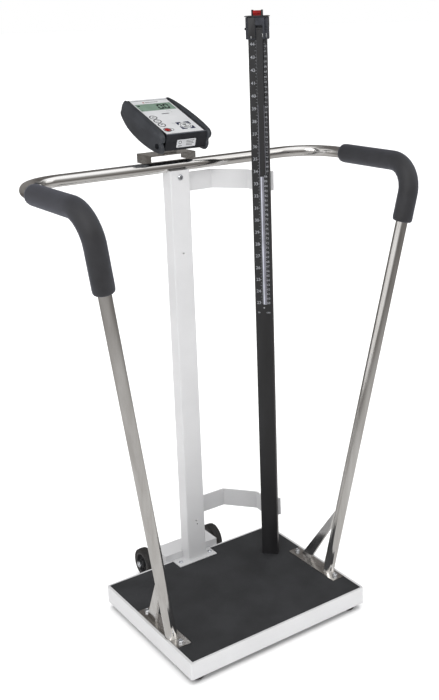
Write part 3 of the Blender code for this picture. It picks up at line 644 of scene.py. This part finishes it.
def hex_reach(across_corners, chamfer_from):
    """Makes a lathe hexagonal, its top corners cut by a cone, as a real nut's are."""
    apothem = across_corners * math.cos(math.pi / 6)

    def reach(turn, r, h):
        """Flats on every point from chamfer_from outwards."""
        if r < chamfer_from:
            return r, h
        part = (turn + math.pi / 6) % (math.pi / 3) - math.pi / 6
        edge = apothem / math.cos(part) / across_corners
        return r * edge, h - max(0.0, r * edge - apothem * 0.97) * 0.5

    return reach


def hex_head(name, node):
    """Chamfered hexagon bolt head on a thin washer face."""
    low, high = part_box(node)
    seat, top, dish = high.z - 0.0045, high.z, high.z - 0.0003
    width, depth = high.x - low.x, high.y - low.y
    r = depth / 2 / math.cos(math.pi / 6) if depth < width else depth / 2
    place = Matrix.Translation(((low.x + high.x) / 2, (low.y + high.y) / 2, 0.0))
    profile = [(0.0, low.z), (r * 0.5, low.z), (r * 0.5, seat), (r * 0.84, seat),
               (r * 0.84, seat + 0.0004), (r * 0.995, seat + 0.0005), (r * 0.995, dish),
               (r * 0.80, top), (r * 0.55, top), (r * 0.50, dish), (0.0, dish)]
    show(name, lathe(name, profile, place, 96, hex_reach(r, r * 0.9)), "zinc", "base",
         (node,), 25)


for side in ("left", "right"):
    for end in ("front", "back"):
        hex_head("leg_bolt_head_%s_%s" % (end, side), "leg_bolt_%s_%s" % (end, side))


# -------------------- wheels
HUB_R, AXLE_BORE_R = 0.0245, 0.0043


def make_wheel(side):
    """Tyre with two grooves, hub with six pockets in each face, and the axle's nut.

    Heights run out along the axle from the scale's middle plane, near and far being the tyre's
    two faces.
    """
    s = -1 if side == "left" else 1
    low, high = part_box("wheel_tyre_" + side)
    middle = (low + high) / 2
    near, far = min(abs(low.x), abs(high.x)), max(abs(low.x), abs(high.x))
    place = Matrix.Translation((0, middle.y, middle.z)) @ Matrix.Rotation(s * math.pi / 2, 4, "Y")
    tyre_r = (high.z - low.z) / 2
    sleeve = min(abs(corner.x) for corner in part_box("wheel_hub_" + side))
    tread, shoulder, steps = [], 0.0022, 12
    for k in range(steps + 1):
        f = k / steps
        crown = tyre_r - 0.0010 * (2 * f - 1) ** 2
        groove = 0.0006 if k in (4, 8) else 0.0
        tread.append((crown - groove, near + shoulder + (far - near - 2 * shoulder) * f))
    wall = [(HUB_R + 0.0003, 0.0003), (tyre_r - 0.0052, 0.0001), (tyre_r - 0.0046, 0.0006),
            (tyre_r - 0.0028, 0.0002), (tyre_r - 0.0014, 0.0010)]
    tyre = ([(r, near + deep) for r, deep in wall] + tread
            + [(r, far - deep) for r, deep in reversed(wall)])
    show("tyre_" + side, lathe("tyre", tyre, place, 128), "tyre", "wheel_" + side,
         ("wheel_tyre_" + side,), 40)
    hub = [(AXLE_BORE_R, sleeve), (0.0078, sleeve), (0.0085, sleeve + 0.0006),
           (0.0088, near + 0.0055), (0.0100, near + 0.0068), (HUB_R - 0.0063, near + 0.0068),
           (HUB_R - 0.0050, near + 0.0058), (HUB_R - 0.0040, near + 0.0015),
           (HUB_R - 0.0032, near + 0.0006), (HUB_R, near + 0.0005),
           (HUB_R, far - 0.0005), (HUB_R - 0.0030, far - 0.0006),
           (HUB_R - 0.0038, far - 0.0015), (HUB_R - 0.0046, far - 0.0058),
           (HUB_R - 0.0056, far - 0.0068), (0.0108, far - 0.0068), (0.0098, far - 0.0060),
           (0.0092, far - 0.0004), (0.0086, far + 0.0002), (AXLE_BORE_R, far + 0.0002)]

    def pockets(turn, r, h):
        """Six shallow pockets pressed into both faces of the web."""
        deep, half_turn = 0.0016, 0.36
        part = abs((turn % (math.pi / 3)) - math.pi / 6)
        if 0.0104 < r < HUB_R - 0.0054 and part < half_turn:
            return r, h + (deep if h < (near + far) / 2 else -deep)
        return r, h

    show("hub_" + side, lathe("hub", hub, place, 180, pockets), "hub", "wheel_" + side,
         ("wheel_hub_" + side,), 30)
    seat, crest, r = far + 0.0006, far + 0.0072, 0.0076
    nut = [(AXLE_BORE_R, seat), (r * 0.84, seat), (r * 0.84, seat + 0.0003),
           (r * 0.995, seat + 0.0005), (r * 0.995, crest - 0.0004), (r * 0.82, crest),
           (r * 0.66, crest), (AXLE_BORE_R + 0.0004, crest - 0.0003),
           (AXLE_BORE_R, crest - 0.0007)]
    show("nut_" + side, lathe("nut", nut, place, 96, hex_reach(r, r * 0.9)), "zinc", "base",
         ("axle_nut_" + side,), 25)


for side in ("left", "right"):
    make_wheel(side)
dress("zinc", "axle", "tilt_bolt", bevel=0.0003)

# -------------------- height rod
ROD = Matrix.Translation((0.1470, 0.0680, 0.0)) @ Matrix.Rotation(-math.pi / 4, 4, "Z")
FACE = ROD @ Matrix.Translation((0, -0.0100, 0)) @ UPRIGHT  # rod's front face
HEAD_FACE = ROD @ Matrix.Translation((0, -0.0170, 0)) @ UPRIGHT  # head's front face
dress("anodised", "rod_outer", "headpiece_arm", bevel=0.0006, segments=3)
dress("rod_side", "head_block", "headpiece_pin", bevel=0.0005)
dress("anodised", "head_lid", bevel=0.0005)
dress("alloy", "rod_inner", bevel=0.0004)
dress("strip", "reading_strip", bevel=0.0002)
dress("red", "release_button", bevel=0.0004, segments=3)

INCH, CM = 0.0254, 0.0100
INCH_TOP, INCH_FIRST, INCH_COUNT = 1.1760, 44, 22  # highest numeral: height and value
CM_TOP, CM_FIRST, CM_COUNT = 1.1720, 112, 54
BLADE_END, SCALE_END = 0.913, 0.640  # heights
TICK = 0.0002  # half a tick's thickness


def on_face(x, z):
    """Place of a numeral on the rod's front face."""
    return FACE @ Matrix.Translation((x, z, 0.0))


def make_scales():
    """Inch scale left of the headpiece's blade, centimetre scale right of it."""
    numerals = []
    for k in range(INCH_COUNT):
        numerals.append(words(str(INCH_FIRST - k), 0.0092,
                              on_face(-0.0098, INCH_TOP - INCH * k)))
    for k in range(CM_COUNT):
        z = CM_TOP - CM * k
        x, size = (0.0142, 0.0058) if z > BLADE_END else (0.0108, 0.0068)
        numerals.append(words(str(CM_FIRST - k), size, on_face(x, z)))
    numerals += [words("in", 0.0068, on_face(-0.0098, 0.6215)),
                 words("cm", 0.0068, on_face(0.0098, 0.6215))]
    show("scale_numerals", merged("scale_numerals", numerals), "print", "base",
         smooth=0)

    ticks = []
    for k in range(INCH_COUNT * 4):
        z = INCH_TOP + INCH / 2 - INCH * k / 4
        if z >= SCALE_END:
            long = {0: 0.0034, 2: 0.0050}.get(k % 4, 0.0022)
            ticks.append(rectangle(-0.0022 - long, -0.0022, z - TICK, z + TICK))
    for k in range(CM_COUNT * 2):
        z = CM_TOP + CM / 2 - CM * k / 2
        if z >= SCALE_END:
            start = 0.0134 if z > BLADE_END else 0.0076
            long = 0.0014 if k % 2 else 0.0022
            ticks.append(rectangle(start, start + long, z - TICK, z + TICK))
    ticks.append(rectangle(-0.0019, -0.0016, SCALE_END, 1.184))
    put("scale_ticks", slabs(ticks), "print", "base", FACE, 0)
    put("scale_dot", slabs([disc(0.0010, 0.6315, 0.0014, 24)]), "print", "base",
        FACE, 0)


def make_rod_trim():
    """Darker band of painted shade down the reading strip; painted highlight lines on the
    headpiece's blade edges.
    """
    thick, half = 0.0012, 0.0003
    # painted shade: a darker band down beside the reading strip
    put("reading_strip_band",
        slabs([rectangle(0.0029, 0.0065, 0.6397, 0.9109)], thick, thick + INK),
        "strip_shade", "base", FACE, 0)
    blade = min((ROD.inverted() @ v.co).y for v in nodes["headpiece_arm"].data.vertices
                if v.co.z < 1.10)
    # painted highlights: thin pale lines along both edges of the blade
    edges = [rectangle(x - half, x + half, 0.9170, 1.1790)
             for x in (-0.0010 + half, 0.0120 - half)]
    put("blade_edge_highlights", slabs(edges), "strip_shade", "headpiece",
        ROD @ Matrix.Translation((0, blade, 0)) @ UPRIGHT, 0)


def make_head_trim():
    """Front cover and bright clips on the height rod's head; the clips' pale colour is a painted
    highlight.
    """
    cover = rounded(-0.0162, -0.0021, 1.1880, 1.2275, 0.0012, 4)
    put("head_cover", slabs([cover], 0.0, 0.0010, 0.0003), "anodised", "rod_slider",
        HEAD_FACE, 30)
    # painted highlights: small pale alloy clips set where the head catches bright light
    bm = bmesh.new()
    for x, z0, z1, seat in ((-0.0102, 1.1872, 1.1915, 0.0010), (0.0128, 1.1895, 1.1960, 0.0),
                            (0.0192, 1.1885, 1.1965, -0.0050)):
        slab(bm, rounded(x - 0.0007, x + 0.0007, z0, z1, 0.0005, 3), seat, seat + 0.0012, 0.0002)
    put("head_clip_highlights", bm, "alloy", "rod_slider", HEAD_FACE, 30)


make_scales()
make_rod_trim()
make_head_trim()

# -------------------- indicator
IND = Matrix.Translation((0, 0.1886, 1.0377)) @ Matrix.Rotation(math.radians(20.7), 4, "X")
HALF_L = 0.0825  # half the case's length
CHEEK_INNER, CHEEK_OUTER = 0.0468, 0.0640
KEY_X, KEY_R = -0.0318, 0.0058
KEY_YS = {"key_top": -0.0010, "key_second": -0.0185, "key_third": -0.0360, "key_power": -0.0590}
dress("case", "indicator_lower", "indicator_upper", bevel=0.0012, segments=3)
dress("film", "keypad_overlay", bevel=0.0002)
dress("film", "key_top", "key_second", "key_third")
dress("red", "key_power")
dress("lcd", "display_panel", bevel=0.0002)
dress("board", "circuit_board", bevel=0.0002)


def cheek_outline():
    """Side view of a cheek as (y, z) points: a finger notch in front, a shallow one behind."""
    front = [(-0.0800, 0.0010), (-0.0845, -0.0035), (-0.0862, -0.0085), (-0.0855, -0.0135),
             (-0.0815, -0.0165), (-0.0800, -0.0190), (-0.0815, -0.0220), (-0.0862, -0.0260),
             (-0.0874, -0.0315), (-0.0862, -0.0370), (-0.0800, -0.0428)]
    belly = [(-0.0620, -0.0465), (-0.0450, -0.0490), (-0.0250, -0.0506), (-0.0050, -0.0515),
             (0.0150, -0.0511), (0.0350, -0.0500), (0.0530, -0.0473), (0.0700, -0.0430)]
    back = [(0.0880, -0.0345), (0.0905, -0.0290), (0.0890, -0.0240), (0.0862, -0.0205),
            (0.0858, -0.0185), (0.0866, -0.0155), (0.0882, -0.0110), (0.0885, -0.0060),
            (0.0868, -0.0010), (0.0840, 0.0018)]
    crown = [(0.0620, 0.0036), (0.0400, 0.0049), (0.0150, 0.0055), (-0.0100, 0.0055),
             (-0.0300, 0.0049), (-0.0500, 0.0040), (-0.0680, 0.0026)]
    return front + belly + back + crown


def cheek_x(y, z):
    """How far out a cheek's face lies: two faces meeting in a crest that climbs to the front."""
    along = 1 - 0.30 * min(1.0, abs(y + 0.004) / 0.088) ** 2.4
    crest = -0.0130 - (0.045 if y > 0 else 0.130) * y
    over = (z - crest) / 0.0185
    under = (crest - z) / 0.0370
    fall = 0.0062 * min(1.0, over) if over > 0 else 0.0068 * min(1.0, under) ** 1.2
    return CHEEK_INNER + (CHEEK_OUTER - CHEEK_INNER) * along - fall


def make_cheek(side):
    """Moulded end cheek, bulging half way along."""
    s = -1 if side == "left" else 1
    loop = cheek_outline()
    centre = Vector((0.0, -0.020))
    bm = bmesh.new()
    # the wall out from the case, then rings closing in over the face
    rings = []
    for scale, depth in ((1.0, 0.0), (1.0, 0.40), (0.995, 0.75), (0.980, 0.93), (0.95, 0.99),
                         (0.90, 1.0), (0.82, 1.0), (0.73, 1.0), (0.63, 1.0), (0.52, 1.0),
                         (0.40, 1.0), (0.27, 1.0), (0.13, 1.0)):
        ring = []
        for y, z in loop:
            p = centre + (Vector((y, z)) - centre) * scale
            x = CHEEK_INNER + (cheek_x(p.x, p.y) - CHEEK_INNER) * depth
            ring.append(bm.verts.new((s * x, p.x, p.y)))
        rings.append(ring)
    count = len(loop)
    for one, two in zip(rings, rings[1:]):
        for i in range(count):
            j = (i + 1) % count
            bm.faces.new((one[i], one[j], two[j], two[i]))
    bm.faces.new(rings[0])
    hub = bm.verts.new((s * cheek_x(centre.x, centre.y), centre.x, centre.y))
    for i in range(count):
        bm.faces.new((rings[-1][i], rings[-1][(i + 1) % count], hub))
    # the cheek material is the case's plastic made lighter: painted highlight
    cheek = show("cheek_shell_" + side, finish_mesh(bm, "cheek_shell_" + side, IND), "cheek",
                 "indicator", ("cheek_" + side,), 60)
    mod = cheek.modifiers.new("smooth", "SUBSURF")
    mod.levels = mod.render_levels = 1


def make_cheek_recess_shade(side):
    """Dark block near a cheek's front lower corner: painted shade standing in for a recess."""
    s = -1 if side == "left" else 1
    outline = rounded(-0.0745, -0.0630, -0.0340, -0.0225, 0.0022, 4)
    sideways = Matrix(((0, 0, s, 0), (1, 0, 0, 0), (0, 1, 0, 0), (0, 0, 0, 1)))
    x = cheek_x(-0.067, -0.028) - 0.0006
    # painted shade: a dark block where the cheek has a recess
    put("cheek_recess_shade_" + side, slabs([outline], 0.0, 0.0014, 0.0003), "ink", "indicator",
        IND @ Matrix.Translation((s * x, 0, 0)) @ sideways, 40)


for side in ("left", "right"):
    make_cheek(side)
    make_cheek_recess_shade(side)


def in_indicator(name, bm, look, body="indicator"):
    """Shows a piece drawn in the indicator's frame."""
    put(name, bm, look, body, IND, 30)


def make_key_outlines():
    """Ring round each key, and one beside the power key."""
    bm = bmesh.new()
    for y in KEY_YS.values():
        ring_plate(bm, KEY_X, y, KEY_R + 0.0026, KEY_R + 0.0008, 0.0, INK)
    ring_plate(bm, KEY_X + 0.0096, KEY_YS["key_power"], 0.0052, 0.0040, 0.0, INK)
    in_indicator("key_outlines", bm, "ink")


def make_reading():
    """Seven-segment reading towards the display's right, and two small marks."""
    wide, tall, line, lean = 0.0092, 0.0185, 0.0040, 0.10
    foot, level = 0.0356, -0.0002
    marks = [disc(0.0168, foot, 0.0014, 20), rectangle(-0.0385, -0.0325, 0.0520, 0.0560),
             rectangle(-0.0380, -0.0350, 0.0340, 0.0350)]

    def segment(x, y, across):
        """One bar of a numeral, leaning with it."""
        if across:
            bar = rectangle(x, x + wide, y - line / 2, y + line / 2)
        else:
            bar = rectangle(x - line / 2, x + line / 2, y + line * 0.35,
                            y + tall / 2 - line * 0.35)
        marks.append([(px + (py - 0.036) * lean, py) for px, py in bar])

    for x in (0.0050, 0.0195):
        segment(x, foot, True)
        segment(x, foot + tall, True)
        for dx in (0.0, wide):
            segment(x + dx, foot, False)
            segment(x + dx, foot + tall / 2, False)
    in_indicator("display_reading", slabs(marks, level, level + INK), "ink")


def make_film_print():
    """Generic print: plain bars, and a square badge holding a small scale pictogram."""
    in_indicator("film_rule", slabs([rectangle(-0.0050, 0.0125, 0.0102, 0.0126)]), "ink")
    x, y, half, hole = 0.0170, -0.0470, 0.0155, 0.0135
    outline = [(0.0035, half)] + arc(0, 0, hole, 78, 12, 10) + [(half, 0.0035), (half, half)]
    quarters = []
    for k in range(4):
        turn = Matrix.Translation((x, y, 0)) @ Matrix.Rotation(k * math.pi / 2, 4, "Z")
        quarters.append([tuple((turn @ Vector((px, py, 0)))[:2]) for px, py in outline])
    in_indicator("badge_corners", slabs(quarters), "blue_ink")
    bm = slabs([rectangle(x - reach, x + reach, y + low, y + high) for reach, low, high in (
        (0.0062, -0.0060, -0.0038), (0.0008, -0.0038, 0.0030), (0.0040, 0.0030, 0.0062))])
    ring_plate(bm, x, y, 0.0112, 0.0102, 0.0, INK)
    in_indicator("badge_pictogram", bm, "ink")
    in_indicator("film_mark", slabs([rectangle(-0.0190, -0.0150, 0.0662, 0.0700)]), "red")
    in_indicator("film_bar", slabs([rectangle(-0.0130, 0.0170, 0.0672, 0.0688)]), "tyre")


def make_key_glyphs():
    """Plain marks on the three pale keys, riding with them."""
    top = 0.0006
    for name in ("key_top", "key_second", "key_third"):
        y = KEY_YS[name]
        bars = [rectangle(KEY_X - 0.0030, KEY_X + 0.0030, y - 0.0008, y + 0.0008)]
        if name != "key_second":
            bars.append(rectangle(KEY_X - 0.0008, KEY_X + 0.0008, y + 0.0008, y + 0.0026))
        in_indicator(name + "_glyph", slabs(bars, top, top + INK), "ink", body=name + "_body")


def make_case_trim():
    """Lighter lip along the case's front edge, its colour a painted highlight, and the film's tail
    behind the display.
    """
    # its lighter colour is a painted highlight along the front edge
    lip = rounded(-0.0462, 0.0462, -0.0812, -0.0786, 0.0010, 3)
    in_indicator("front_edge_highlight", slabs([lip], 0.0004, 0.0010, 0.0004), "lip")
    tail = rectangle(-0.0438, 0.0438, 0.0768, 0.0822)
    in_indicator("film_tail", slabs([tail], 0.00045, 0.00065), "film")


def make_front_label():
    """Pale metal plate with plain dark bars and a ring."""
    place = IND @ Matrix.Translation((0, -HALF_L, 0)) @ UPRIGHT
    thick = 0.0003
    plate = rounded(-0.0210, 0.0230, -0.0290, -0.0120, 0.0014, 4)
    put("front_label", slabs([plate], 0.0, thick), "label", "indicator",
        place, 30)
    bars = [rectangle(-0.0180, -0.0090, -0.0262, -0.0250)]
    for k, end in enumerate((0.0195, 0.0170, 0.0185, 0.0150)):
        z = -0.0152 - 0.0032 * k
        bars.append(rectangle(0.0010, end, z - 0.0005, z + 0.0005))
    bm = slabs(bars, thick, thick + INK)
    ring_plate(bm, -0.0135, -0.0180, 0.0036, 0.0026, thick, thick + INK)
    put("front_label_print", bm, "ink", "indicator", place, 0)


make_key_outlines()
make_reading()
make_film_print()
make_key_glyphs()
make_case_trim()
make_front_label()


# -------------------- floor, light and world
def ground_disc(name, radius, look):
    """Flat disc round the origin."""
    bm = bmesh.new()
    bmesh.ops.create_circle(bm, cap_ends=True, segments=96, radius=radius)
    mesh = bpy.data.meshes.new(name)
    bm.to_mesh(mesh)
    bm.free()
    mesh.materials.append(look)
    obj = bpy.data.objects.new(name, mesh)
    scene.collection.objects.link(obj)
    return obj


def make_floor():
    """Plain pale floor; polished metal sees floor_glow in its place."""
    look = bpy.data.materials.new("pale_floor")
    look.use_nodes = True
    bsdf = look.node_tree.nodes["Principled BSDF"]
    bsdf.inputs["Base Color"].default_value = (0.90, 0.90, 0.90, 1)
    bsdf.inputs["Roughness"].default_value = 0.9
    bsdf.inputs["Specular IOR Level"].default_value = 0.1
    floor = ground_disc("floor", 60.0, look)
    floor.visible_glossy = False
    return floor


def make_floor_glow():
    """What polished metal sees of the floor: pale close by, falling off into a dim room."""
    radius = 3.4
    look = bpy.data.materials.new("floor_glow")
    look.use_nodes = True
    graph = look.node_tree
    where = graph.nodes.new("ShaderNodeTexCoord")
    away = graph.nodes.new("ShaderNodeVectorMath")
    away.operation = "LENGTH"
    graph.links.new(where.outputs["Object"], away.inputs[0])
    reach = remap(graph, away.outputs["Value"], 0.0, 1.0, 0.0, radius)
    tone = ramp(graph, reach, [(0.0, (0.62, 0.61, 0.60)), (0.29, (0.50, 0.49, 0.48)),
                               (0.53, (0.24, 0.23, 0.22)), (0.95, (0.13, 0.12, 0.115))])
    shine = graph.nodes.new("ShaderNodeEmission")
    graph.links.new(tone, shine.inputs["Color"])
    graph.links.new(shine.outputs["Emission"], graph.nodes["Material Output"].inputs["Surface"])
    glow = ground_disc("floor_glow", radius, look)
    glow.location.z = 0.0005
    glow.visible_camera = glow.visible_diffuse = glow.visible_shadow = False
    glow.visible_transmission = False


def make_world():
    """World by kind of ray: white for the camera, a room for polish, soft light for the rest."""
    world = bpy.data.worlds.new("world")
    scene.world = world
    world.use_nodes = True
    graph = world.node_tree
    where = graph.nodes.new("ShaderNodeTexCoord")
    split = graph.nodes.new("ShaderNodeSeparateXYZ")
    graph.links.new(where.outputs["Generated"], split.inputs["Vector"])
    path = graph.nodes.new("ShaderNodeLightPath")

    def blend(kind, one, two, factor=None):
        """Two colours mixed by kind, fully where no factor is given."""
        mix = graph.nodes.new("ShaderNodeMix")
        mix.data_type = "RGBA"
        mix.blend_type = kind
        if factor is None:
            mix.inputs["Factor"].default_value = 1.0
        else:
            graph.links.new(factor, mix.inputs["Factor"])
        colours = [s for s in mix.inputs if s.type == "RGBA"]
        graph.links.new(one, colours[0])
        graph.links.new(two, colours[1])
        return [s for s in mix.outputs if s.type == "RGBA"][0]

    def backdrop(colour):
        """Background of a linked colour."""
        out = graph.nodes.new("ShaderNodeBackground")
        graph.links.new(colour, out.inputs["Color"])
        return out.outputs["Background"]

    def choose(which, other, chosen):
        """Chosen for one kind of ray, other for the rest."""
        out = graph.nodes.new("ShaderNodeMixShader")
        graph.links.new(path.outputs[which], out.inputs["Fac"])
        graph.links.new(other, out.inputs[1])
        graph.links.new(chosen, out.inputs[2])
        return out.outputs["Shader"]

    # the room: a bright ceiling towards the camera, dim behind and at eye level
    height = remap(graph, split.outputs["Z"], 0.0, 1.0, -1.0, 1.0)
    front = ramp(graph, height, [
        (0.36, (0.13, 0.12, 0.115)), (0.50, (0.24, 0.23, 0.22)), (0.635, (0.32, 0.31, 0.30)),
        (0.75, (0.90, 0.90, 0.90)), (0.82, (1.20, 1.20, 1.21)), (1.0, (1.20, 1.20, 1.21))])
    behind = ramp(graph, height, [
        (0.36, (0.12, 0.11, 0.105)), (0.50, (0.20, 0.19, 0.18)), (0.63, (0.24, 0.23, 0.22)),
        (0.78, (0.14, 0.13, 0.125)), (0.93, (0.14, 0.13, 0.125)), (1.0, (0.70, 0.70, 0.70))])
    flank = ramp(graph, remap(graph, split.outputs["X"], 0.0, 1.0, -1.0, 1.0), [
        (0.0, (0.95, 0.94, 0.93)), (0.07, (0.85, 0.84, 0.83)), (0.24, (0.06, 0.06, 0.06)),
        (0.85, (0.04, 0.04, 0.04)), (1.0, (0.34, 0.33, 0.32))])
    towards = remap(graph, split.outputs["Y"], 0.0, 1.0, 0.10, -0.10)
    room = blend("LIGHTEN", blend("MIX", behind, front, towards), flank)
    ambient = ramp(graph, height, [(0.45, (0.50, 0.50, 0.51)), (0.70, (0.66, 0.66, 0.67)),
                                   (1.0, (1.0, 1.0, 1.0))])
    white = graph.nodes["Background"]
    white.inputs["Color"].default_value = (1, 1, 1, 1)
    lit = choose("Is Glossy Ray", backdrop(ambient), backdrop(room))
    graph.links.new(choose("Is Camera Ray", lit, white.outputs["Background"]),
                    graph.nodes["World Output"].inputs["Surface"])


def make_floor_wash(floor):
    """Light for the floor alone, so that it stays as pale as the backdrop."""
    data = bpy.data.lights.new("floor_wash", "SUN")
    data.energy = 2.2
    data.angle = math.radians(80)
    wash = bpy.data.objects.new("floor_wash", data)
    scene.collection.objects.link(wash)
    only = bpy.data.collections.new("floor_only")
    only.objects.link(floor)
    wash.light_linking.receiver_collection = only


def soft_light(name, where, size, power):
    """Area light aimed at the middle of the scale."""
    data = bpy.data.lights.new(name, "AREA")
    data.shape = "RECTANGLE"
    data.size, data.size_y = size
    data.energy = power
    lamp = bpy.data.objects.new(name, data)
    scene.collection.objects.link(lamp)
    lamp.location = where
    aim = Vector((0, 0, 0.6)) - Vector(where)
    lamp.rotation_euler = aim.to_track_quat("-Z", "Y").to_euler()


ground = make_floor()
make_floor_glow()
make_world()
make_floor_wash(ground)
soft_light("key", (-2.2, -1.6, 2.6), (1.6, 1.6), 22.0)
soft_light("fill", (2.4, -1.8, 1.8), (1.4, 2.0), 6.0)
scene.view_settings.view_transform = "Standard"
scene.view_settings.look = "None"
